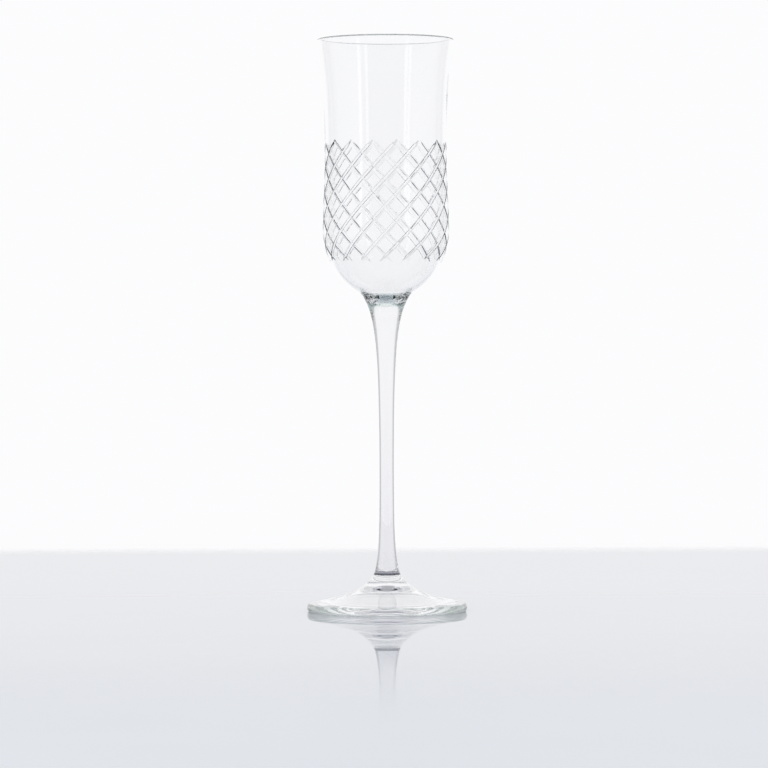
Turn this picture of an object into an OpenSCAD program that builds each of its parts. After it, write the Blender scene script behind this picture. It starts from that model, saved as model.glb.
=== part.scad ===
// Champagne flute of clear glass: a blown bowl with a band of cut cross-hatching,
// a drawn stem and a pressed foot, joined hot at the collar and at the ankle.
// Millimetres, +Z up, origin at the centre of the foot on the table.

/* [Bowl] */
// Height of the bowl, from the collar up to the top of the rim
bowl_h = 105.5; // [95:0.5:120]
// Diameter across the rim, outside
rim_d = 56.2; // [52:0.1:62]
// Diameter at the waist, the narrowest place under the rim, outside
waist_d = 50; // [46:0.1:51]
// Height of the waist above the collar
waist_h = 57.5; // [50:0.5:70]
// Diameter at the belly, the widest place of the cut band, outside
belly_d = 51.8; // [50:0.1:58]
// Height of the belly above the collar, which is also the depth of the round bottom
belly_h = 27.3; // [24:0.1:32]
// How late the rim flares: 2 is an even curve, 4 turns out only near the lip
flare_power = 2.8; // [1.6:0.1:4]
// Thickness of the wall from the belly to the waist
wall_t = 1.5; // [1.2:0.1:2]
// Thickness of the rim, whose lip is a half round
rim_t = 1.2; // [0.8:0.1:1.6]
// Height above the collar where the inside's round bottom would end without its sag
floor_h = 0.45; // [0.2:0.05:1]
// How far the middle of the inside sags into the stem's head
floor_sag = 2.8; // [1:0.1:3.1]
// Diameter of the sag
sag_d = 22; // [16:1:28]
// How far under the collar the outside's round bottom would end
bottom_sink = 1; // [0:0.1:2]
// How tightly the round bottom turns into the collar: larger is a sharper corner
collar_corner = 8; // [4:1:12]

/* [Cut band] */
// Number of cuts that lean each way
cut_count = 16; // [12:1:20]
// Diamonds from the bottom to the top of the band
cut_rows = 4.5; // [3:0.5:6]
// Height of the band's lowest crossings above the collar
band_low_h = 16; // [12:0.1:20]
// Height of the band's highest crossings above the collar
band_high_h = 63.3; // [55:0.1:70]
// Width of a cut at the surface
cut_w = 1.2; // [0.8:0.1:1.6]
// Depth of a cut
cut_depth = 0.4; // [0.2:0.05:0.6]
// How far a cut runs on past the last crossing, until it fades out
cut_run_out = 2; // [1:0.1:3]

/* [Stem] */
// Length of the stem, from the ankle up to the collar
stem_l = 114.5; // [90:0.5:130]
// Diameter of the stem where it is thinnest
stem_d = 5.4; // [4.5:0.1:7]
// Diameter of the collar, where the stem's head takes the bowl
collar_d = 19.1; // [16:0.1:22]
// How far down the head's flare reaches
head_reach = 34; // [26:1:44]
// How deep the bowl's bottom sits in the dished head
collar_dish = 3.6; // [3.4:0.1:4.2]
// Diameter of the ankle, where the stem takes the foot
ankle_d = 11.1; // [9:0.1:14]
// How far up the ankle's flare reaches
ankle_reach = 23; // [16:1:30]

/* [Foot] */
// Diameter of the foot
foot_d = 65.8; // [58:0.2:75]
// Height of the foot at the edge of its hub
foot_h = 15; // [11:0.5:20]
// Height of the foot's upright edge
edge_t = 3.2; // [2.6:0.1:4]
// How far the edge bulges outwards
edge_bulge = 0.9; // [0.5:0.1:1.5]
// Height that the foot's straight slope would reach at the hub
cone_h = 8.8; // [8:0.1:10]
// How far the hub's swelling spreads over the slope
hub_reach = 4.6; // [3.5:0.1:6]
// How far the hub's domed top rises into the stem
hub_dome = 0.8; // [0.3:0.1:1.5]
// Width of the flat ring that the foot rests on
ring_w = 4.3; // [2:0.1:8]
// Height of the bell-shaped hollow at its middle
hollow_h = 9; // [4:0.5:9.5]

/* [Hidden] */
$fn = 96;

rim_r = rim_d / 2;
waist_r = waist_d / 2;
belly_r = belly_d / 2;
collar_r = collar_d / 2;
stem_r = stem_d / 2;
ankle_r = ankle_d / 2;
lip_r = rim_t / 2;
edge_r = edge_t / 2;
edge_centre = foot_d / 2 - edge_bulge;
hollow_r = edge_centre - ring_w;

ankle_z = foot_h;
collar_z = ankle_z + stem_l;
floor_z = collar_z + floor_h;
belly_z = collar_z + belly_h;
waist_z = collar_z + waist_h;
lip_z = collar_z + bowl_h - lip_r;

// Straight steps that stand for each curved stretch of an outline
curve_steps = 12;
hub_steps = 24;
stem_steps = 40;
// Straight steps along a cut, between its lowest and highest crossings
cut_steps = 16;
// Height of the cutting wheel's profile above the surface of the glass
wheel_rise = 0.3;

// Numbers from first to last in equal steps
function span(first, last, steps) = [for (i = [0 : steps]) first + (last - first) * i / steps];

// S-shaped rise from 0 to 1, level at both ends
function ease(t) = t * t * (3 - 2 * t);

// The larger of two radii, with a rounded corner where they change over
function blend(a, b) = pow(pow(a, collar_corner) + pow(b, collar_corner), 1 / collar_corner);

// Radius of a quarter ellipse at a height under its widest place
function round_bottom(r, depth, under) = r * sqrt(max(0, 1 - pow(under / depth, 2)));

// Share of the way from the waist up to the lip
function flare_at(z) = max(0, (z - waist_z) / (lip_z - waist_z));

// Radius of the outside from the belly up: an S to the waist, then the flare of the rim
function upper_r(z) = z < waist_z
    ? belly_r + (waist_r - belly_r) * ease((z - belly_z) / (waist_z - belly_z))
    : waist_r + (rim_r - waist_r) * pow(flare_at(z), flare_power);

// Radius of the bowl's outside
function bowl_r(z) = z < belly_z
    ? blend(round_bottom(belly_r, belly_h + bottom_sink, belly_z - z), collar_r)
    : upper_r(z);

// Thickness of the wall from the belly up
function wall_at(z) = wall_t + (rim_t - wall_t) * flare_at(z);

// Place on the inside's round bottom: a quarter ellipse from the belly, at 90, to the axis, at 0,
// with a soft sag round its middle
function inside_bottom(a) = let (
    r = (belly_r - wall_t) * sin(a),
    sag = floor_sag * pow(max(0, 1 - pow(2 * r / sag_d, 2)), 2)
) [r, belly_z - (belly_z - floor_z) * cos(a) - sag];

// Heights in the outside's round bottom, closer together towards the collar
bottom_heights = [for (a = span(0, 90, curve_steps)) belly_z - belly_h * cos(a)];

// Heights from just over the belly to the lip
upper_heights = concat(
    [for (i = [1 : curve_steps]) belly_z + (waist_z - belly_z) * i / curve_steps],
    [for (i = [1 : curve_steps]) waist_z + (lip_z - waist_z) * i / curve_steps]
);

// A round seat between two pieces, from its edge in to its middle, which lies rise higher
function seat(r, z, rise) = [
    for (x = span(r, 0, curve_steps)) [x, z + rise * (1 - pow(x / r, 2))]
];

// A list from its last item to its first
function backwards(list) = [for (i = [len(list) - 1 : -1 : 0]) list[i]];

collar_seat = seat(collar_r, collar_z, -collar_dish);
ankle_seat = seat(ankle_r, ankle_z, hub_dome);

// Half of the bowl's section: the seat, the outside up to the lip, and the inside down to the floor
module bowl_section() {
    outside = concat(bottom_heights, upper_heights);
    lip = [for (a = span(0, 180, curve_steps)) [rim_r - lip_r + lip_r * cos(a), lip_z + lip_r * sin(a)]];
    polygon(concat(
        backwards(collar_seat),
        [for (i = [1 : len(outside) - 2]) [bowl_r(outside[i]), outside[i]]],
        lip,
        [for (i = [len(upper_heights) - 2 : -1 : 0])
            [upper_r(upper_heights[i]) - wall_at(upper_heights[i]), upper_heights[i]]],
        [for (a = span(90, 0, 2 * curve_steps)) inside_bottom(a)]
    ));
}

// Share of a flare that is left at a distance from its widest end
function fade(distance, reach) = let (end = pow(1 + stem_l / reach, -3))
    (pow(1 + distance / reach, -3) - end) / (1 - end);

// Radius of the stem: a thin rod with a flare that fades away from each end
function stem_outline(z) = stem_r
    + (collar_r - stem_r) * fade(collar_z - z, head_reach)
    + (ankle_r - stem_r) * fade(z - ankle_z, ankle_reach);

module stem_section() {
    heights = span(ankle_z, collar_z, stem_steps);
    polygon(concat(
        backwards(ankle_seat),
        [for (i = [1 : stem_steps - 1]) [stem_outline(heights[i]), heights[i]]],
        collar_seat
    ));
}

// Share of the hub's swelling that is left at a radius
function hub_fade(r) = let (end = exp(-(edge_centre - ankle_r) / hub_reach))
    (exp(-(r - ankle_r) / hub_reach) - end) / (1 - end);

// Height of the foot's upper side: a straight slope from the edge with the hub's swelling on it
function foot_top(r) = edge_t
    + (cone_h - edge_t) * (edge_centre - r) / (edge_centre - ankle_r)
    + (foot_h - cone_h) * hub_fade(r);

// Height of the hollow under the foot: a bell that runs out level on the ring
function hollow_top(r) = hollow_h * pow(1 - pow(r / hollow_r, 2), 2);

module foot_section() {
    hollow = [for (x = span(0, hollow_r, hub_steps)) [x, hollow_top(x)]];
    edge = [for (a = span(-90, 90, curve_steps)) [edge_centre + edge_bulge * cos(a), edge_r * (1 + sin(a))]];
    radii = [for (t = span(1, 0, hub_steps)) ankle_r + (edge_centre - ankle_r) * t * t];
    polygon(concat(
        hollow,
        edge,
        [for (i = [1 : hub_steps - 1]) [radii[i], foot_top(radii[i])]],
        ankle_seat
    ));
}

// Heights along a cut, with a run-out at each end
cut_heights = concat(
    [collar_z + band_low_h - cut_run_out],
    span(collar_z + band_low_h, collar_z + band_high_h, cut_steps),
    [collar_z + band_high_h + cut_run_out]
);

// Slope of the bowl's outside, as change of radius over change of height
slope_step = 0.01;
function bowl_slope(z) = (bowl_r(z + slope_step) - bowl_r(z - slope_step)) / (2 * slope_step);

// Turn between two heights of a cut that leans evenly all the way, before it is scaled to the band
function lean(low, high) = let (middle = (low + high) / 2)
    (high - low) * sqrt(1 + pow(bowl_slope(middle), 2)) / bowl_r(middle);

// The same turn from the start of a cut up to one of its steps
function lean_up_to(i) = i == 0 ? 0 : lean_up_to(i - 1) + lean(cut_heights[i - 1], cut_heights[i]);

// Places of the lowest and highest crossings among the steps of a cut
low_crossing = 1;
high_crossing = cut_steps + 1;

// Degrees that a cut turns between them, and the tangent of its lean away from straight up
cut_turn = cut_rows * 360 / cut_count;
band_lean = lean_up_to(high_crossing) - lean_up_to(low_crossing);
lean_slope = cut_turn * PI / 180 / band_lean;

// Degrees of turn at a step of a cut, with the highest crossing at 0
function cut_angle(i) = cut_turn * (lean_up_to(i) - lean_up_to(high_crossing)) / band_lean;

// Three corners of the wheel's V-shaped profile at one step of a cut
function cut_corners(i) = let (
    z = cut_heights[i],
    angle = cut_angle(i),
    slope = bowl_slope(z),
    out = [cos(angle), sin(angle), -slope] / sqrt(1 + slope * slope),
    up = [slope * cos(angle), slope * sin(angle), 1] / sqrt(1 + slope * slope),
    round = [-sin(angle), cos(angle), 0],
    across = (round - lean_slope * up) / sqrt(1 + lean_slope * lean_slope),
    surface = [bowl_r(z) * cos(angle), bowl_r(z) * sin(angle), z],
    ends = i == 0 || i == len(cut_heights) - 1,
    depth = ends ? -wheel_rise / 2 : cut_depth,
    half_w = cut_w / 2 * (depth + wheel_rise) / cut_depth
) [
    surface - depth * out,
    surface + wheel_rise * out + half_w * across,
    surface + wheel_rise * out - half_w * across
];

// The glass that one cut takes away: the wheel's profile carried along the cut
module cut() {
    rings = len(cut_heights);
    polyhedron(
        points = [for (i = [0 : rings - 1]) each cut_corners(i)],
        faces = concat(
            [[0, 2, 1]],
            [for (i = [0 : rings - 2], k = [0 : 2]) let (a = 3 * i + k, b = 3 * i + (k + 1) % 3)
                each [[a, b, b + 3], [a, b + 3, a + 3]]],
            [[3 * rings - 3, 3 * rings - 2, 3 * rings - 1]]
        )
    );
}

module bowl() {
    color("azure", 0.4) difference() {
        rotate_extrude() bowl_section();
        for (i = [0 : cut_count - 1], lean_left = [0, 1])
            rotate([0, 0, (i + 0.5) * 360 / cut_count]) mirror([0, lean_left, 0]) cut();
    }
}

module stem() {
    color("lavender", 0.5) rotate_extrude() stem_section();
}

module foot() {
    color("mintcream", 0.5) rotate_extrude() foot_section();
}

bowl();
stem();
foot();
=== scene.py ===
# %% [markdown]
# # A champagne flute with a cut band
#
# The object is a tall flute of clear, colourless glass. It is three pieces of glass that were joined
# while they were hot: a blown bowl with a flared rim, a drawn stem, and a pressed foot. A band of
# crossing cuts was ground into the outside of the bowl afterwards and polished.
#
# Glass has no colour of its own to paint. Nearly all that the eye sees is the studio, bent and mirrored
# by the shape, so the work here goes into exact curves, real wall thickness and a studio that is worth
# bending.

# %% Load the frame
import math

import bpy
import numpy as np
from mathutils import Matrix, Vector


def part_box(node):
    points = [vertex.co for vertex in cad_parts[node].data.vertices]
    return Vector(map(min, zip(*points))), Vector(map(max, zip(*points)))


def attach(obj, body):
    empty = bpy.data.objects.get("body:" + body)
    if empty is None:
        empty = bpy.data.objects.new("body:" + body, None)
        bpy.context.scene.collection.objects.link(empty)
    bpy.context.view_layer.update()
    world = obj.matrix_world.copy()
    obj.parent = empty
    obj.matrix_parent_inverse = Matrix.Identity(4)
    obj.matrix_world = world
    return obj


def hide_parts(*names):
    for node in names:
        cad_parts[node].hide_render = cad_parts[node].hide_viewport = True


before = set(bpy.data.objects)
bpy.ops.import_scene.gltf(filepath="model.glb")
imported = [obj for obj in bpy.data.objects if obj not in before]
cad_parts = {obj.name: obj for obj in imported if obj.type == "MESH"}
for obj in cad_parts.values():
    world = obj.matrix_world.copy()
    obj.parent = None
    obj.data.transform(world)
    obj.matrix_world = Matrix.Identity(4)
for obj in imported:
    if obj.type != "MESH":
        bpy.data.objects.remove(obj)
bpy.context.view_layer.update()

# %% [markdown]
# ## Driving sizes
#
# The heights and the largest radii come from the boxes of the three CAD nodes, so the looks follow the
# part if it is made in another size. The inner shape of each curve is given by a few more sizes, in
# metres.

# %% Sizes from the frame
MM = 0.001
bowl_low, bowl_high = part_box("bowl")
stem_low, stem_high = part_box("stem")
foot_low, foot_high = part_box("foot")

rim_r, rim_z = bowl_high.x, bowl_high.z
collar_r, collar_z = stem_high.x, stem_high.z
collar_dish = collar_z - bowl_low.z
ankle_z = stem_low.z
hub_dome = foot_high.z - ankle_z
foot_r = foot_high.x
stem_l = collar_z - ankle_z
print("collar at", round(collar_z, 4), "ankle at", round(ankle_z, 4), "rim radius", round(rim_r, 4))

# %% Sizes of the bowl
waist_r, waist_z = 25.0 * MM, collar_z + 57.5 * MM
belly_r, belly_z = 25.9 * MM, collar_z + 27.3 * MM
floor_z = collar_z + 0.45 * MM
bottom_sink, floor_sag, sag_r = 1.0 * MM, 2.8 * MM, 11.0 * MM
wall_t, rim_t = 1.5 * MM, 1.2 * MM
flare_power, collar_corner = 2.8, 8
lip_r = rim_t / 2
lip_z = rim_z - lip_r
print("the wall is", wall_t / MM, "mm thick and thins to", rim_t / MM, "mm at the rim")

# %% Sizes of the stem and the foot
stem_r, ankle_r = 2.7 * MM, 5.55 * MM
head_reach, ankle_reach = 34.0 * MM, 23.0 * MM
edge_r, edge_bulge = 1.6 * MM, 0.9 * MM
edge_centre = foot_r - edge_bulge
cone_z, hub_reach = 8.8 * MM, 4.6 * MM
ring_w, hollow_h = 4.3 * MM, 9.0 * MM
hollow_r = edge_centre - ring_w
print("the foot is hollow out to", round(hollow_r / MM, 2), "mm from its middle")

# %% [markdown]
# ## Curves of the glass
#
# Every piece was spun, blown or pressed round, so each is a curve turned about the upright axis. The
# bowl's bottom is a quarter ellipse that turns into the collar with a rounded corner; above the belly
# it draws in to a waist, and from there the rim flares out, late and quickly. The stem is a thin rod
# whose ends swell like a drawn thread of honey, and each swelling dies away as an inverse cube. The
# foot is a straight, flat cone, and the hub on top of it dies away as an exponential.


# %% Outlines of the bowl
def flare_at(z):
    """Share of the way from the waist up to the lip."""
    return np.clip((z - waist_z) / (lip_z - waist_z), 0, 1)


def outside_r(z):
    """Radius of the bowl's outside by height: an ellipse blended into the collar, then an S to the waist,
    then a flare that grows as a power of the share of the way to the lip."""
    under = np.clip((belly_z - z) / (belly_z - collar_z + bottom_sink), 0, 1)
    bottom = belly_r * np.sqrt(1 - under**2)
    bottom = (bottom**collar_corner + collar_r**collar_corner) ** (1 / collar_corner)
    t = np.clip((z - belly_z) / (waist_z - belly_z), 0, 1)
    waist = belly_r + (waist_r - belly_r) * t * t * (3 - 2 * t)
    flare = (rim_r - waist_r) * flare_at(z) ** flare_power
    return np.where(z < belly_z, bottom, waist + flare)


def inside_r(z):
    """Radius of the bowl's inside from the belly up: the outside less a wall that thins to the rim."""
    return outside_r(z) - wall_t - (rim_t - wall_t) * flare_at(z)


def inside_bottom(turn):
    """Radii and heights of the inside under the belly: a quarter ellipse by its turn, less a sag in its
    middle that is the square of a parabola."""
    r = (belly_r - wall_t) * np.sin(turn)
    sag = floor_sag * np.clip(1 - (r / sag_r) ** 2, 0, 1) ** 2
    return r, belly_z - (belly_z - floor_z) * np.cos(turn) - sag


# %% Outlines of the stem and the foot
seat_rings = 8


def swelling(distance, reach):
    """Share of an end's swelling left at a distance: an inverse cube that is 1 at 0 and 0 at the far end."""
    end = (1 + stem_l / reach) ** -3
    return ((1 + distance / reach) ** -3 - end) / (1 - end)


def stem_outline(z):
    """Radius of the stem by height: a thin rod with a swelling from each end."""
    head = (collar_r - stem_r) * swelling(collar_z - z, head_reach)
    return stem_r + head + (ankle_r - stem_r) * swelling(z - ankle_z, ankle_reach)


def foot_top(r):
    """Height of the foot's upper side by radius: a straight cone up from the edge, and on top of it the
    hub's swelling, an exponential that is 1 at the ankle and 0 at the edge."""
    cone = 2 * edge_r + (cone_z - 2 * edge_r) * (edge_centre - r) / (edge_centre - ankle_r)
    left_at_edge = math.exp(-(edge_centre - ankle_r) / hub_reach)
    left = (np.exp(-(r - ankle_r) / hub_reach) - left_at_edge) / (1 - left_at_edge)
    return cone + (ankle_z - cone_z) * left


def seat(r, edge_z, rise):
    """Radii and heights of a round seat from its middle out: a parabola, rise higher in the middle."""
    x = np.linspace(0, r, seat_rings + 1)[1:]
    return x, edge_z + rise * (1 - (x / r) ** 2)


# %% [markdown]
# ## Turned meshes
#
# One helper makes every piece. It takes whole arrays of angles, radii and heights, a row for each ring,
# and closes the surface with a point on the axis at both ends. Every second ring is turned by half a
# step, so that the edges of the triangles run along both leaning directions: this is what lets the cuts
# of the bowl follow the edges of the mesh exactly. Edges that turn by more than a small angle are left
# sharp.

# %% Closed surface from rings
sharp_angle = math.radians(24)


def ring_triangles(rows, count, stagger):
    """Corners of the triangles between neighbouring rings: two for each step, which lean as the rings do."""
    j = np.arange(count)
    k = np.arange(rows - 1)[:, None]
    here, beside = k * count + j, k * count + (j + 1) % count
    above, above_beside = here + count, beside + count
    odd = stagger[:-1, None] > 0
    first = np.stack([here, np.where(odd, above_beside, beside), above], axis=-1)
    second = np.stack([np.where(odd, here, beside), np.where(odd, beside, above_beside),
                       np.where(odd, above_beside, above)], axis=-1)
    return np.stack([first, second], axis=2).reshape(-1, 3)


def turned(name, angle, radius, height, start_z, end_z, stagger, face_material, materials):
    """Closed surface from rings of points, (r cos a, r sin a, z), with a point on the axis at each end.
    stagger says for each ring whether it is turned by half a step."""
    rows, count = radius.shape
    ring = np.stack([radius * np.cos(angle), radius * np.sin(angle), height], axis=-1).reshape(-1, 3)
    verts = np.concatenate([ring, [[0, 0, start_z], [0, 0, end_z]]])
    start, end, last = rows * count, rows * count + 1, (rows - 1) * count

    j = np.arange(count)
    start_fan = np.stack([np.full(count, start), (j + 1) % count, j], axis=-1)
    end_fan = np.stack([last + j, last + (j + 1) % count, np.full(count, end)], axis=-1)
    faces = np.concatenate([ring_triangles(rows, count, stagger), start_fan, end_fan])

    mesh = bpy.data.meshes.new(name)
    mesh.from_pydata(verts.tolist(), [], faces.tolist())
    corner_of = np.clip(faces, 0, rows * count - 1)
    mesh.polygons.foreach_set("material_index", face_material(corner_of).astype(np.int32))
    for material in materials:
        mesh.materials.append(material)
    mesh.shade_smooth()
    mesh.set_sharp_from_angle(angle=sharp_angle)
    piece = bpy.data.objects.new(name, mesh)
    bpy.context.collection.objects.link(piece)
    print(name, "has", len(faces), "triangles")
    return piece


# %% [markdown]
# ## Ripples of hand-made glass
#
# Blown and drawn glass is never quite round. A few slow waves, a few hundredths of a millimetre high,
# run round and along the stem and the bowl; they are what makes mirrored lines waver. They die away at
# the joints, where the pieces must meet.

# %% Ripple helper
rng = np.random.default_rng(11)
wave_count = 5


def ripple(angle, height, size, waves_round, wave_length, fade_low, fade_high, fade):
    """Mean of a few cosines round the axis and along the height, fading as an S near two heights."""
    total = np.zeros(np.broadcast(angle, height).shape)
    for _ in range(wave_count):
        turns = rng.integers(1, waves_round + 1)
        pitch = 2 * math.pi / (wave_length * rng.uniform(0.6, 1.6))
        total = total + np.cos(turns * angle + pitch * height + rng.uniform(0, 2 * math.pi)) / wave_count
    near = np.clip(np.minimum(height - fade_low, fade_high - height) / fade, 0, 1)
    return size * total * near * near * (3 - 2 * near)


# %% [markdown]
# ## Shader nodes
#
# A material is a tree of small nodes. The helpers below add one node each and return its output, so
# that a material can be written almost as a formula. A number or a colour that is the same everywhere
# is set on the input itself, and only what varies over the surface is linked.


# %% Node helpers
def add_node(tree, kind, values=None, **settings):
    """Adds a shader node, sets its properties, and links or sets its inputs by name."""
    node = tree.nodes.new(kind)
    for key, value in settings.items():
        setattr(node, key, value)
    for key, value in (values or {}).items():
        if isinstance(value, bpy.types.NodeSocket):
            tree.links.new(value, node.inputs[key])
        else:
            node.inputs[key].default_value = value
    return node


def opaque(colour):
    """Colour as an input takes it: a socket as it is, or three levels with a full fourth one."""
    return colour if isinstance(colour, bpy.types.NodeSocket) else (*colour, 1.0)


def mix_colour(tree, share, first, second):
    """Colour that goes from the first to the second by a share."""
    values = {"Factor": share, 6: opaque(first), 7: opaque(second)}
    return add_node(tree, "ShaderNodeMix", values, data_type="RGBA").outputs[2]


def mix_level(tree, share, first, second):
    """Number that goes from the first to the second by a share."""
    values = {"Factor": share, 2: first, 3: second}
    return add_node(tree, "ShaderNodeMix", values, data_type="FLOAT").outputs[0]


def mix_shader(tree, share, first, second):
    """Surface that goes from the first shader to the second by a share."""
    return add_node(tree, "ShaderNodeMixShader", {"Fac": share, 1: first, 2: second}).outputs["Shader"]


# %% More node helpers
def ramp(tree, value, low, high, start=0.0, end=1.0, kind="SMOOTHSTEP"):
    """Number that goes from start to end while a value goes from low to high, as an S or a straight line."""
    values = {"Value": value, "From Min": low, "From Max": high, "To Min": start, "To Max": end}
    return add_node(tree, "ShaderNodeMapRange", values, interpolation_type=kind).outputs["Result"]


def calc(tree, operation, *numbers):
    """Result of one calculation, such as MULTIPLY or GREATER_THAN, on one or two numbers."""
    return add_node(tree, "ShaderNodeMath", dict(enumerate(numbers)), operation=operation).outputs["Value"]


def noise(tree, place, scale, detail):
    """Cloudy number between 0 and 1."""
    values = {"Vector": place, "Scale": scale, "Detail": detail}
    return add_node(tree, "ShaderNodeTexNoise", values).outputs["Fac"]


def facing(tree):
    """Number that is 0 where the surface is seen straight on and 1 where it is seen edge on."""
    return add_node(tree, "ShaderNodeLayerWeight", {"Blend": 0.5}).outputs["Facing"]


def straight_through(tree, colour=(1.0, 1.0, 1.0)):
    """Shader that lets light straight through, dimmed by a colour."""
    return add_node(tree, "ShaderNodeBsdfTransparent", {"Color": opaque(colour)}).outputs["BSDF"]


def new_material(name):
    """Material with an empty tree, the tree, and the places on the object."""
    material = bpy.data.materials.new(name)
    material.use_nodes = True
    tree = material.node_tree
    tree.nodes.clear()
    return material, tree, add_node(tree, "ShaderNodeTexCoord").outputs["Object"]


# %% [markdown]
# ## Clear glass
#
# The glass is a refracting material with almost no colour. The polish is not the same everywhere, and
# faint cords in the melt bend the light a little. Where light has a long way through thick glass it is
# dimmed, and a tint stands for that: it can change up the piece, or with the angle at which the surface
# is seen. Other tints are painted shade: the dark line of the rim, a dark line round the ankle, and the
# grey flanks of the cuts, near black where seen edge on. A tint may be set for light that leaves the
# glass; for the cuts it keeps the far side of the band fainter than the near side.

# %% Glass
glass_ior = 1.52
polish_scale, polish_range = 70.0, (0.35, 0.75)
cord_stretch = (1, 1, 0.35)


def tint(tree, place, top, bottom=None, grazing=None, from_to=None, leaving=None):
    """Colour of a glass: a mix up the stem, then to a grazing tint by angle, then to the leaving tint."""
    colour = top
    if bottom:
        up = add_node(tree, "ShaderNodeSeparateXYZ", {"Vector": place}).outputs["Z"]
        colour = mix_colour(tree, ramp(tree, up, ankle_z, collar_z, kind="LINEAR"), bottom, colour)
    if grazing:
        colour = mix_colour(tree, ramp(tree, facing(tree), *from_to), colour, grazing)
    if leaving:
        back = add_node(tree, "ShaderNodeNewGeometry").outputs["Backfacing"]
        colour = mix_colour(tree, back, colour, leaving)
    return opaque(colour)


def glass(name, smooth, rough, cords, grain=110.0, **tints):
    """Refracting glass whose roughness wanders between two values and whose cords tilt the surface."""
    material, tree, place = new_material(name)
    drawn = add_node(tree, "ShaderNodeMapping", {"Vector": place, "Scale": cord_stretch}).outputs["Vector"]
    polish = noise(tree, place, polish_scale, 3.0)
    melt = noise(tree, drawn, grain, 1.0)
    bump = add_node(tree, "ShaderNodeBump", {"Height": melt, "Strength": 1.0, "Distance": cords})
    shader = add_node(tree, "ShaderNodeBsdfPrincipled", {
        "Base Color": tint(tree, place, **tints), "Transmission Weight": 1.0, "IOR": glass_ior,
        "Roughness": ramp(tree, polish, *polish_range, smooth, rough, "LINEAR"),
        "Normal": bump.outputs["Normal"]})
    add_node(tree, "ShaderNodeOutputMaterial", {"Surface": shader.outputs["BSDF"]})
    return material


# %% Glasses of the flute
clear = (0.993, 0.995, 0.997)
polished, fine_cords = (0.0, 0.012), 0.004 * MM
clear_glass = glass("clear_glass", *polished, fine_cords, top=clear)
stem_glass = glass("stem_glass", *polished, fine_cords, top=(0.98, 0.98, 0.985),
                   bottom=(0.88, 0.88, 0.905), grazing=(0.5, 0.52, 0.52), from_to=(0.3, 0.65))
edge_glass = glass("edge_glass", 0.0, 0.02, 0.10 * MM, grain=320.0, top=clear,
                   grazing=(0.58, 0.66, 0.63), from_to=(0.06, 0.4))
# Painted shade: the lip is dark where it is seen face on and clear edge on and for light that leaves, for
# the dark line of the rim.
lip_painted_shade = glass("lip_painted_shade", *polished, fine_cords, top=(0.25, 0.27, 0.27),
                  grazing=clear, from_to=(0.35, 0.75), leaving=clear)
# Painted shade: a near black tint for the dark line of the crease round the ankle, clear for light that
# leaves.
ankle_crease_shade = glass("ankle_crease_shade", 0.02, 0.08, 0.02 * MM, top=(0.08, 0.085, 0.095),
                     grazing=(0.03, 0.03, 0.035), from_to=(0.3, 0.7), leaving=clear)
print("the glass bends light with an index of", glass_ior)

# %% Glasses of the cuts
ground, cut_cords = (0.02, 0.06), 0.006 * MM
# Painted shade: the flanks of the cuts are grey, and near black where seen edge on, for the dark lines of
# the cuts.
flank_painted_shade, flank_leaving = (0.02, 0.03, 0.04), (0.85, 0.86, 0.87)
cut_shaded_glass = glass("cut_shaded_glass", *ground, cut_cords, top=(0.64, 0.66, 0.67),
                  grazing=flank_painted_shade, from_to=(0.2, 0.47), leaving=flank_leaving)
dash_shaded_glass = glass("dash_shaded_glass", *ground, cut_cords, top=(0.86, 0.87, 0.88),
                   grazing=flank_painted_shade, from_to=(0.16, 0.42), leaving=flank_leaving)
print("rising cuts are", cut_shaded_glass.name, "and falling ones", dash_shaded_glass.name)

# %% [markdown]
# ## Fused faces
#
# Where two pieces were fused there is no air between them, so light goes straight through. The joint is
# painted with shade, for the dark arc it shows: the painted shade starts some way out from the axis, is
# darkest where it is seen edge on, and breaks up into painted dark specks at two sides of the joint.

# %% Painted shade in a joint
bare = (1.0, 1.0, 1.0)
side_share, speck_scale, speck_range = (0.4, 0.65), 800.0, (0.5, 0.6)


def painted_joint_shade(name, face_on, edge_on, from_to, scale, shade_reach, speck_reach):
    """Clear face with painted shade beyond one radius, darker edge on, and painted dark specks beyond
    another radius at the two sides where the distance across is a large share of the distance from the axis."""
    material, tree, place = new_material(name)
    angle_shade = mix_colour(tree, ramp(tree, facing(tree), *from_to), face_on, edge_on)
    values = {0: place, 1: (1, 1, 0)}
    flat = add_node(tree, "ShaderNodeVectorMath", values, operation="MULTIPLY").outputs["Vector"]
    away = add_node(tree, "ShaderNodeVectorMath", {0: flat}, operation="LENGTH").outputs["Value"]
    shaded_joint = mix_colour(tree, ramp(tree, away, *shade_reach), bare, angle_shade)

    left_right = add_node(tree, "ShaderNodeSeparateXYZ", {"Vector": place}).outputs["X"]
    share = calc(tree, "DIVIDE", calc(tree, "ABSOLUTE", left_right), away)
    gathers = calc(tree, "MULTIPLY", ramp(tree, away, *speck_reach), ramp(tree, share, *side_share))
    speck = ramp(tree, noise(tree, place, speck_scale, 2.0), *speck_range, kind="LINEAR")
    colour = mix_colour(tree, gathers, shaded_joint, mix_colour(tree, speck, bare, scale))
    add_node(tree, "ShaderNodeOutputMaterial", {"Surface": straight_through(tree, colour)})
    return material


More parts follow.
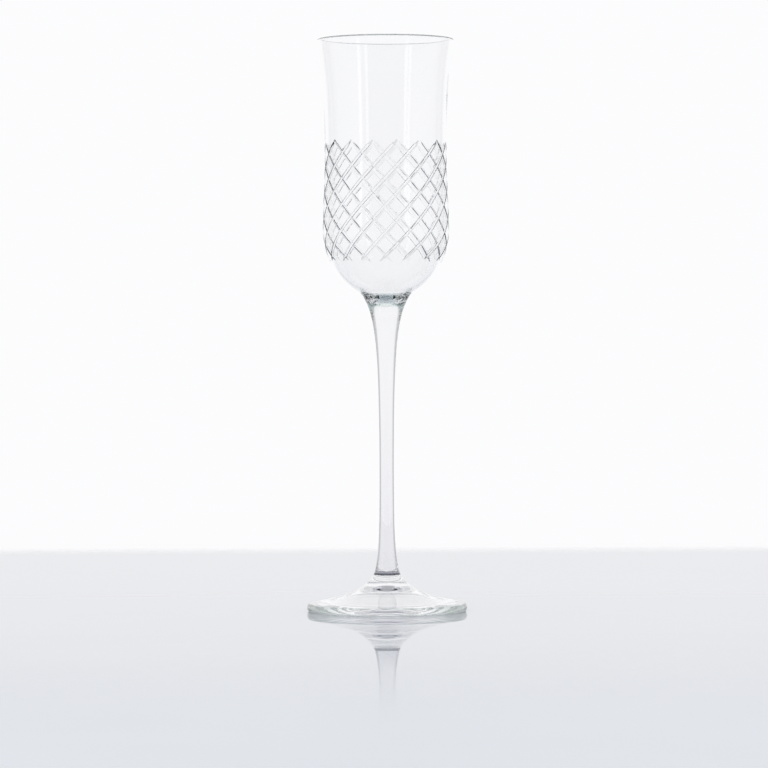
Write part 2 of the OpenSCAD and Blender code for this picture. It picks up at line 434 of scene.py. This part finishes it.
# Painted shade in the collar's and the ankle's joints, darker edge on; the colour given as scale is that of
# the painted dark specks.
collar_painted_shade = painted_joint_shade("collar_painted_shade", face_on=(0.81, 0.88, 0.865), edge_on=(0.5, 0.57, 0.55),
                   from_to=(0.9, 1.0), scale=(0.15, 0.155, 0.16),
                   shade_reach=(4.2 * MM, 5.4 * MM), speck_reach=(3.0 * MM, 4.5 * MM))
ankle_painted_shade = painted_joint_shade("ankle_painted_shade", face_on=(0.87, 0.87, 0.92), edge_on=(0.5, 0.5, 0.54),
                  from_to=(0.72, 0.96), scale=(0.8, 0.8, 0.84),
                  shade_reach=(0.2 * MM, 0.8 * MM), speck_reach=(4.5 * MM, 5.5 * MM))
print("films:", collar_painted_shade.name, ankle_painted_shade.name)


# %% Other side of a joint
def clear_face(name):
    """Face that meets a painted joint shade: it lets all light through, as the other side already carries
    the painted shade of the joint.
    """
    material, tree, _ = new_material(name)
    add_node(tree, "ShaderNodeOutputMaterial", {"Surface": straight_through(tree)})
    return material


fused_face = clear_face("fused_face")
print("other side:", fused_face.name)

# %% [markdown]
# ## Stem
#
# The stem is drawn from the hot glass and swells into a dished head that takes the bowl and an ankle
# that takes the foot. It is solid, so it works as a lens: its middle shows the background turned round,
# and its edges gather the dark sides of the studio into thin lines. A narrow dark line of painted shade
# runs round the ankle, for the crease where the stem meets the foot.


# %% Rings of the stem
def rings_of(radii, heights, count):
    """Angles, radii and heights of rings of equal steps, with every second ring turned by half a step."""
    stagger = np.arange(len(radii)) % 2
    angle = (np.arange(count)[None, :] + 0.5 * stagger[:, None]) * 2 * math.pi / count
    return angle, np.repeat(radii[:, None], count, 1), np.repeat(heights[:, None], count, 1), stagger


stem_count = 128
low_end, high_end = ankle_z + 20 * MM, collar_z - 30 * MM
ankle_x, ankle_h = seat(ankle_r, ankle_z, hub_dome)
collar_x, collar_h = seat(collar_r, collar_z, -collar_dish)
rod_z = np.concatenate([
    np.linspace(ankle_z, low_end, 51)[1:],
    np.linspace(low_end, high_end, 33)[1:],
    np.linspace(high_end, collar_z, 51)[1:-1],
])
profile_r = np.concatenate([ankle_x, stem_outline(rod_z), collar_x[::-1]])
profile_z = np.concatenate([ankle_h, rod_z, collar_h[::-1]])
angle, radius, height, stagger = rings_of(profile_r, profile_z, stem_count)
radius = radius + ripple(angle, height, size=0.03 * MM, waves_round=3, wave_length=40 * MM,
                         fade_low=ankle_z, fade_high=collar_z, fade=12 * MM)
print("the stem has", len(profile_r), "rings of", stem_count, "points")

# %% Stem
seat_rows, crease_rows = len(ankle_x), 2


def stem_faces(corners):
    """Painted shade inside the ankle's seat, other painted shade inside the collar's seat, a dark line of
    painted shade just above the ankle, and the stem's glass elsewhere."""
    row = corners // stem_count
    in_ankle = row.max(1) < seat_rows
    in_collar = row.min(1) >= len(profile_r) - len(collar_x)
    in_crease = (row.min(1) >= seat_rows - 1) & (row.max(1) < seat_rows + crease_rows)
    return np.where(in_ankle, 1, np.where(in_collar, 2, np.where(in_crease, 3, 0)))


stem = turned("drawn_stem", angle, radius, height, ankle_z + hub_dome, collar_z - collar_dish, stagger,
              stem_faces, [stem_glass, ankle_painted_shade, collar_painted_shade, ankle_crease_shade])

# %% [markdown]
# ## Foot
#
# The foot is pressed in a mould. Its upper side slopes straight down from the hub, its edge is thick
# and upright with a slight bulge, and its underside has a bell-shaped hollow, so that it stands on a
# flat ring. The mould leaves shallow mottles in the edge, which break what the edge mirrors into
# streaks.

# %% Rings of the foot
foot_count = 288
hollow_x = np.linspace(0, hollow_r, 25)[1:]
ring_x = np.linspace(hollow_r, edge_centre, 7)[1:-1]
edge_a = np.radians(np.linspace(-90, 90, 33))
slope_x = ankle_r + (edge_centre - ankle_r) * np.linspace(1, 0, 73)[1:] ** 2
hub_x, hub_h = ankle_x[::-1][1:], ankle_h[::-1][1:]

hollow_z = hollow_h * (1 - (hollow_x / hollow_r) ** 2) ** 2
edge_x, edge_z = edge_centre + edge_bulge * np.cos(edge_a), edge_r * (1 + np.sin(edge_a))
profile_r = np.concatenate([hollow_x, ring_x, edge_x, slope_x, hub_x])
profile_z = np.concatenate([hollow_z, 0 * ring_x, edge_z, foot_top(slope_x), hub_h])
angle, radius, height, stagger = rings_of(profile_r, profile_z, foot_count)
print("the foot has", len(profile_r), "rings of", foot_count, "points")


# %% Foot
def foot_faces(corners):
    """The fused face on top of the hub, the edge's tinted glass round the edge, clear glass elsewhere."""
    low_row, high_row = corners.min(1) // foot_count, corners.max(1) // foot_count
    first_edge = len(hollow_x) + len(ring_x)
    on_edge = (low_row >= first_edge) & (high_row < first_edge + len(edge_a))
    on_hub = low_row >= len(profile_r) - len(ankle_x)
    return np.where(on_hub, 1, np.where(on_edge, 2, 0))


foot = turned("pressed_foot", angle, radius, height, hollow_h, ankle_z + hub_dome, stagger,
              foot_faces, [clear_glass, fused_face, edge_glass])

# %% [markdown]
# ## Lattice of the cut band
#
# Sixteen cuts lean one way round the bowl and sixteen the other way. A cutter holds the bowl against a
# wheel and turns it at an even lean, so a cut is a line of constant slope on the surface. If the turn
# of such a line is used as the measure of height, both sets become straight diagonals, and a diamond
# grid of points follows them. The points are gathered towards the cuts, so that each one gets sharp
# edges and a clean bottom, and the cuts are shifted a little from their even places, as no hand keeps a
# perfect spacing.
#
# The rising cuts are wide and level at the bottom. The falling cuts are narrow and V-shaped, and grow
# shallow near the rising ones, so that they read as dashes. The cuts run out over about two
# millimetres, and their tops end a little below the upper end of the band.

# %% Sizes of the cuts
cut_count, cut_rows = 16, 4.5
band_low_z, band_high_z = collar_z + 16.0 * MM, collar_z + 63.3 * MM
rising_half_w, rising_depth, rising_level = 0.68 * MM, 0.21 * MM, 0.6
falling_half_w, falling_depth, falling_level = 0.52 * MM, 0.28 * MM, 0.0
run_out = 2.0 * MM
top_gap = 2.0 * MM / waist_r
shallow_share, shallow_reach = 0.4, 1.5 * MM
most_shift = 0.05
spacing = 2 * math.pi / cut_count
print("the cuts are", round(spacing * belly_r / MM, 2), "mm apart at the belly")

# %% Turn of a cut as a measure of height
fine_z = np.linspace(collar_z + 1.0 * MM, lip_z, 6001)
fine_r = outside_r(fine_z)
fine_slope = np.gradient(fine_r, fine_z)
per_step = np.sqrt(1 + fine_slope**2) / fine_r
fine_turn = np.concatenate([[0], np.cumsum((per_step[1:] + per_step[:-1]) / 2 * np.diff(fine_z))])
at_low, at_high = np.interp([band_low_z, band_high_z], fine_z, fine_turn)
lean = cut_rows * spacing / (at_high - at_low)
fine_turn = (fine_turn - at_high) * lean
across = 1 / math.sqrt(1 + lean**2)
print("the cuts lean by", round(math.degrees(math.atan(lean)), 1), "degrees")

# %% Even lattice
grid_steps, margin = 18, 0.45
half_steps = 2 * grid_steps
lattice_m = np.arange(-int((cut_rows + margin) * half_steps), int(margin * half_steps) + 1)
count = cut_count * grid_steps
turn_step = spacing / half_steps
lattice_turn = lattice_m[:, None] * turn_step
lattice_angle = (np.arange(count)[None, :] + 0.5 * (lattice_m % 2)[:, None]) * 2 * turn_step
rising = np.round((lattice_angle - lattice_turn) / turn_step / 2) / grid_steps
falling = np.round((lattice_angle + lattice_turn) / turn_step / 2) / grid_steps
print("the lattice has", len(lattice_m), "rows of", count, "points")

# %% Lattice gathered towards the cuts
gather_at = np.linspace(0, 1, grid_steps + 1)
guard_ring = 1.22
hold_past, hold_fade = 0.25, margin - 0.3


def smooth_step(x):
    """S-shaped rise from 0 to 1: three times the square less twice the cube, and level outside."""
    x = np.clip(x, 0, 1)
    return x * x * (3 - 2 * x)


def gathered(u, half_w, level):
    """Moves even grid places, counted in diamonds, towards the cuts at whole numbers: each cut gets points
    at its bottom, part of the way up, at its edge and just outside, and the rest are spread evenly."""
    edge_share = half_w / (belly_r * spacing * across)
    near_cut = np.array([0, max(level, 0.5), 1.0, guard_ring]) * edge_share
    between = np.linspace(near_cut[-1], 1 - near_cut[-1], grid_steps - 5)[1:-1]
    gather_to = np.concatenate([near_cut, between, 1 - near_cut[::-1]])
    return np.floor(u) + np.interp(u - np.floor(u), gather_at, gather_to)


def hand_shift(u):
    """Shift of a place between two cuts, blended between the chance shifts of the cuts on either side."""
    shifts = rng.uniform(-most_shift, most_shift, cut_count)
    return np.interp(np.mod(u, cut_count), np.arange(cut_count + 1), np.append(shifts, shifts[0]))


past_end = np.maximum(lattice_turn, -cut_rows * spacing - lattice_turn) / spacing
hold = 1 - smooth_step((past_end - hold_past) / hold_fade)
rising_to = gathered(rising, rising_half_w, rising_level) + hand_shift(rising)
falling_to = gathered(falling, falling_half_w, falling_level) + hand_shift(falling)
rising_at = rising + hold * (rising_to - rising)
falling_at = falling + hold * (falling_to - falling)
band_angle = spacing * (0.5 + (rising_at + falling_at) / 2)
band_turn = spacing * (falling_at - rising_at) / 2
band_z = np.interp(band_turn, fine_turn, fine_z)
band_r = outside_r(band_z)
print("the lattice reaches from", round(band_z.min(), 4), "to", round(band_z.max(), 4))


# %% Depth of the cuts
def from_cut(u, half_w, level):
    """Distance on the surface from the nearest cut of one set."""
    g = gathered(u, half_w, level)
    return np.abs(g - np.round(g)) * spacing * band_r * across


def cut_into(u, half_w, deep, level):
    """Depth of one set of cuts by the distance from the nearest cut: two straight flanks, and a level bottom
    between them. Both ends run out over a length that differs by chance from cut to cut."""
    shorten = rng.uniform(0.7, 1.3, cut_count)[np.mod(np.round(u), cut_count).astype(int)]
    past = np.maximum(band_turn + top_gap, -cut_rows * spacing - band_turn) * band_r / lean
    left = 1 - np.clip(past / (run_out * shorten), 0, 1)
    return deep * np.clip((left - from_cut(u, half_w, level) / half_w) / (1 - level), 0, 1)


rising_cut = cut_into(rising, rising_half_w, rising_depth, rising_level)
falling_cut = cut_into(falling, falling_half_w, falling_depth, falling_level)
clear_of_rising = from_cut(rising, rising_half_w, rising_level) - rising_half_w
fullness = shallow_share + (1 - shallow_share) * smooth_step(clear_of_rising / shallow_reach)
falling_cut = falling_cut * fullness
depth = np.maximum(rising_cut, falling_cut)
slope = np.interp(band_z, fine_z, fine_slope)
band_r = band_r - depth / np.sqrt(1 + slope**2)
band_z = band_z + depth * slope / np.sqrt(1 + slope**2)
print("the deepest cut is", round(depth.max() / MM, 3), "mm deep")

# %% [markdown]
# ## Bowl
#
# The rest of the bowl joins on to the band with plain rings: the seat and the round bottom under it,
# the flared wall over it, the half-round lip that was melted smooth, and the inside, which sags a
# little in its middle. The rings lie closer together towards the lip, so that the lines mirrored there
# stay smooth.

# %% Rings below and above the band
crowd_outside, crowd_inside, crowd_floor = 1.8, 1.7, 1.3
first_z, last_z = band_z[0].mean(), band_z[-1].mean()
low_a = np.linspace(0, math.acos((belly_z - first_z) / (belly_z - collar_z)), 18)[1:-1]
low_z = belly_z - (belly_z - collar_z) * np.cos(low_a)
high_z = lip_z - (lip_z - last_z) * np.linspace(1, 0, 22)[1:] ** crowd_outside
lip_a = np.radians(np.linspace(0, 180, 13))[1:-1]
in_z = lip_z - (lip_z - belly_z) * np.linspace(0, 1, 38) ** crowd_inside
in_a = np.radians(90 * np.linspace(1, 0, 34)[1:-1] ** crowd_floor)
in_low_r, in_low_z = inside_bottom(in_a)
lip_x = rim_r - lip_r + lip_r * np.cos(lip_a)

before_r = np.concatenate([collar_x, outside_r(low_z)])
before_z = np.concatenate([collar_h, low_z])
after_r = np.concatenate([outside_r(high_z), lip_x, inside_r(in_z), in_low_r])
after_z = np.concatenate([high_z, lip_z + lip_r * np.sin(lip_a), in_z, in_low_z])
print("the bowl has", len(before_r), "rings below the band and", len(after_r), "after it")

# %% All rings of the bowl
m = np.arange(lattice_m[0] - len(before_r), lattice_m[-1] + len(after_r) + 1)
stagger = m % 2
angle = (np.arange(count)[None, :] + 0.5 * stagger[:, None]) * 2 * turn_step + spacing / 2
radius, height, cut, falls = (np.zeros(angle.shape) for _ in range(4))
low, high = len(before_r), len(before_r) + len(lattice_m)
radius[:low], height[:low] = before_r[:, None], before_z[:, None]
radius[high:], height[high:] = after_r[:, None], after_z[:, None]
angle[low:high], radius[low:high], height[low:high] = band_angle, band_r, band_z
cut[low:high], falls[low:high] = depth, falling_cut - rising_cut

lip_row = high + len(high_z) - 1
inside_share = np.clip((np.arange(len(m))[:, None] - lip_row) / (len(lip_a) + 1), 0, 1)
slow = {"waves_round": 4, "wave_length": 60 * MM, "fade_high": rim_z + 20 * MM, "fade": 25 * MM}
outer_wave = ripple(angle, height, size=0.04 * MM, fade_low=collar_z, **slow)
inner_wave = ripple(angle, height, size=0.05 * MM, fade_low=floor_z, **slow)
radius = radius + outer_wave + inside_share * (inner_wave - outer_wave)
print("the bowl has", len(m), "rings of", count, "points")

# %% Bowl
lip_faces = 10
flank_rise = 0.05 * rising_depth


def bowl_faces(corners):
    """The fused face inside the seat, one glass with painted shade in the flanks of the rising cuts and
    another in those of the falling cuts, glass with painted shade over the lip, and clear glass elsewhere."""
    low_row, high_row = corners.min(1) // count, corners.max(1) // count
    in_seat = high_row < len(collar_x)
    in_flank = np.ptp(cut.reshape(-1)[corners], axis=1) > flank_rise
    flank = np.where(falls.reshape(-1)[corners].mean(1) > 0, 4, 1)
    on_lip = (low_row >= lip_row) & (high_row <= lip_row + lip_faces)
    return np.where(in_seat, 2, np.where(in_flank, flank, np.where(on_lip, 3, 0)))


bowl = turned("cut_bowl", angle, radius, height, collar_z - collar_dish, floor_z - floor_sag, stagger,
              bowl_faces, [clear_glass, cut_shaded_glass, fused_face, lip_painted_shade, dash_shaded_glass])

# %% [markdown]
# ## Places in the frame
#
# Each piece stands for the CAD node of the same piece and rides on the only body.

# %% Hand the pieces to the frame
for piece, node in ((bowl, "bowl"), (stem, "stem"), (foot, "foot")):
    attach(piece, "root")
    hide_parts(node)

# %% [markdown]
# ## Table
#
# The glass stands on a glossy, pale blue-grey table that ends about half a metre behind it. The far
# edge is out of focus in a photograph, so the last few centimetres of the table fade away. Its front is
# a paler satin.
#
# Light that reaches the table through the glass finds it paler and partly open to the white sheet
# behind. This is a shortcut and not optics: a plain table would show through the foot as grey, and in a
# photograph the foot is whiter than the table round it. The effect is strongest at grazing angles, and
# weaker for light that was mirrored on its way.

# %% Table's lacquer
table_far, table_fade = 0.45, 0.075
table_half, table_near, table_z = 1.3, -1.9, -0.05 * MM
table_end = table_far + table_fade / 2
lacquer_colours, lacquer_rough, lacquer_ior = ((0.62, 0.65, 0.71), (0.66, 0.69, 0.75)), (0.0, 0.008), 1.4
satin_colours, satin_rough, satin_ior = ((0.83, 0.86, 0.90), (0.87, 0.90, 0.94)), 0.5, 1.2
satin_from, satin_to = -0.12, -0.5
cloud_at, cloud_tilt, cloud_scale = (0.31, 0.17, 0.043), (0.5, 0.35, 0.6), 9.0
through_colour, through_open = (0.93, 0.94, 0.97), 0.6
mirrored_share, steep_share, grazing_range = 0.55, 0.45, (0.42, 0.62)


def seen_through_glass(tree):
    """How much a ray came through the glass: 1 after glass, less after a mirror, less at a steep angle."""
    path = add_node(tree, "ShaderNodeLightPath").outputs
    after_glass = calc(tree, "GREATER_THAN", path["Transmission Depth"], 0.5)
    unmirrored = ramp(tree, path["Glossy Depth"], 0.0, 1.0, 1.0, mirrored_share, "LINEAR")
    grazing = ramp(tree, facing(tree), *grazing_range, steep_share, 1.0)
    return calc(tree, "MULTIPLY", calc(tree, "MULTIPLY", after_glass, unmirrored), grazing)


def table_material():
    """Lacquer with faint clouds in its colour and gloss, a satin front, and a far edge that fades away."""
    material, tree, place = new_material("table_lacquer")
    values = {"Vector": place, "Location": cloud_at, "Rotation": cloud_tilt}
    tilted = add_node(tree, "ShaderNodeMapping", values).outputs["Vector"]
    cloud = noise(tree, tilted, cloud_scale, 4.0)
    through = seen_through_glass(tree)
    lacquer = add_node(tree, "ShaderNodeBsdfPrincipled", {
        "Base Color": mix_colour(tree, through, mix_colour(tree, cloud, *lacquer_colours), through_colour),
        "Roughness": ramp(tree, cloud, 0.0, 1.0, *lacquer_rough, "LINEAR"), "IOR": lacquer_ior})
    satin = add_node(tree, "ShaderNodeBsdfPrincipled", {
        "Base Color": mix_colour(tree, cloud, *satin_colours), "Roughness": satin_rough, "IOR": satin_ior})

    away = add_node(tree, "ShaderNodeSeparateXYZ", {"Vector": place}).outputs["Y"]
    worn = ramp(tree, away, satin_from, satin_to)
    opened = calc(tree, "MULTIPLY", through, through_open)
    faded = ramp(tree, away, table_far - table_fade / 2, table_end)
    top = mix_shader(tree, worn, lacquer.outputs["BSDF"], satin.outputs["BSDF"])
    top = mix_shader(tree, opened, top, straight_through(tree))
    top = mix_shader(tree, faded, top, straight_through(tree))
    add_node(tree, "ShaderNodeOutputMaterial", {"Surface": top})
    return material


# %% Table
table_corners = [(-table_half, table_near, table_z), (table_half, table_near, table_z),
                 (table_half, table_end, table_z), (-table_half, table_end, table_z)]
table_mesh = bpy.data.meshes.new("table")
table_mesh.from_pydata(table_corners, [], [(0, 1, 2, 3)])
table_mesh.materials.append(table_material())
table = bpy.data.objects.new("table", table_mesh)
bpy.context.collection.objects.link(table)
print("the table ends", round(table_end, 3), "m behind the glass")

# %% [markdown]
# ## Studio
#
# Glass is drawn by what stands round it. The photograph was taken against a wide white sheet, lit
# evenly, in a room that is dimmer beside the sheet, in front and overhead: the white shows through the
# glass, and the dim parts are gathered into the dark lines of the rim, the cuts and the edges. Matt
# surfaces get a plain, even light from all sides. The camera sees plain white round the glass. A view
# from behind would find the dim front through the glass, so straight light finds white there instead.

# %% Levels of the studio
white = (0.974, 0.974, 0.986)
matt_level, ceiling_level = 0.9, 0.55
round_levels = ((0, 1.0), (38, 1.0), (44, 0.75), (60, 0.75),
                (72, 0.85), (126, 0.85), (140, 0.65), (180, 0.65))
beside_turn, front_turn = (44, 60), (110, 130)
ceiling_behind, ceiling_beside = (40, 60), (18, 28)
print("the studio is dimmest, in front, at a level of", min(level for _, level in round_levels))


# %% World
def studio_level(tree, turn, up):
    """Brightness by the turn from the sheet, from 0 to 1 half way round, and by the height: levels round the
    room, and a ceiling that starts higher behind the glass than beside it."""
    levels = add_node(tree, "ShaderNodeValToRGB", {"Fac": turn})
    stops = levels.color_ramp.elements
    while len(stops) < len(round_levels):
        stops.new(0.5)
    for stop, (degrees, level) in zip(stops, round_levels):
        stop.position = degrees / 180
        stop.color = (level, level, level, 1)
    beside = ramp(tree, turn, beside_turn[0] / 180, beside_turn[1] / 180)
    sines = np.sin(np.radians([ceiling_behind, ceiling_beside])).tolist()
    start = mix_level(tree, beside, sines[0][0], sines[1][0])
    end = mix_level(tree, beside, sines[0][1], sines[1][1])
    return mix_level(tree, ramp(tree, up, start, end), levels.outputs["Color"], ceiling_level)


def set_world():
    """White world times the studio's level, with even light for matt surfaces and white for the camera."""
    world = bpy.data.worlds.new("studio")
    bpy.context.scene.world = world
    world.use_nodes = True
    tree = world.node_tree
    tree.nodes.clear()
    place = add_node(tree, "ShaderNodeTexCoord").outputs["Generated"]
    parts = add_node(tree, "ShaderNodeSeparateXYZ", {"Vector": place}).outputs
    turn = calc(tree, "ABSOLUTE", calc(tree, "ARCTAN2", parts["X"], parts["Y"]))
    turn = calc(tree, "MULTIPLY", turn, 1 / math.pi)
    room = studio_level(tree, turn, parts["Z"])

    path = add_node(tree, "ShaderNodeLightPath").outputs
    unmirrored = calc(tree, "LESS_THAN", path["Glossy Depth"], 0.5)
    straight = calc(tree, "MULTIPLY", path["Is Transmission Ray"], unmirrored)
    in_front = ramp(tree, turn, front_turn[0] / 180, front_turn[1] / 180)
    room = mix_level(tree, calc(tree, "MULTIPLY", straight, in_front), room, 1.0)
    room = mix_level(tree, calc(tree, "GREATER_THAN", path["Diffuse Depth"], 0.5), room, matt_level)
    seen = mix_level(tree, path["Is Camera Ray"], room, 1.0)
    background = add_node(tree, "ShaderNodeBackground", {"Color": opaque(white), "Strength": seen})
    add_node(tree, "ShaderNodeOutputWorld", {"Surface": background.outputs["Background"]})


set_world()

# %% [markdown]
# ## Soft boxes
#
# Two upright soft boxes stand in front of the glass, out of the picture. Each is mirrored in the bowl
# as a faint bright streak.

# %% Soft boxes
box_width, box_tall, box_level = 0.1, 1.1, 0.85


def soft_box(name, from_camera):
    """Upright lamp a metre away, at an angle from the camera's direction, facing the glass; its power is pi
    times its area times its brightness."""
    lamp = bpy.data.lights.new(name, "AREA")
    lamp.shape = "RECTANGLE"
    lamp.size, lamp.size_y = box_width, box_tall
    lamp.energy = math.pi * box_width * box_tall * box_level
    box = bpy.data.objects.new(name, lamp)
    turn = math.radians(from_camera)
    box.matrix_world = (Matrix.Translation((math.sin(turn), -math.cos(turn), box_tall / 2))
                        @ Matrix.Rotation(turn, 4, "Z") @ Matrix.Rotation(math.radians(90), 4, "X"))
    box.visible_camera = False
    bpy.context.collection.objects.link(box)
    print(name, "gives", round(lamp.energy, 3), "watts")


soft_box("left_soft_box", -48)
soft_box("right_soft_box", 37.5)

# %% [markdown]
# ## Camera
#
# A long lens stands a metre and a half away, a little lower than the collar, and looks down by less
# than a degree.

# %% Camera
camera_at = (-1.0 * MM, -1.548, 111.5 * MM)
look_down, roll = 0.67, -0.19
camera_data = bpy.data.cameras.new("camera")
camera_data.sensor_width = 36.0
camera_data.lens = 176.5
camera = bpy.data.objects.new("camera", camera_data)
camera.matrix_world = (Matrix.Translation(camera_at)
                       @ Matrix.Rotation(math.radians(90 - look_down), 4, "X")
                       @ Matrix.Rotation(math.radians(roll), 4, "Z"))
bpy.context.collection.objects.link(camera)
bpy.context.scene.camera = camera
print("the lens is", camera_data.lens, "mm long")

# %% [markdown]
# ## Finish
#
# Light has to cross many surfaces of glass, so the paths may be long.

# %% Finish
scene = bpy.context.scene
scene.view_settings.view_transform = "Standard"
scene.cycles.max_bounces = 64
scene.cycles.transmission_bounces = 64
scene.cycles.glossy_bounces = 32
scene.cycles.transparent_max_bounces = 24
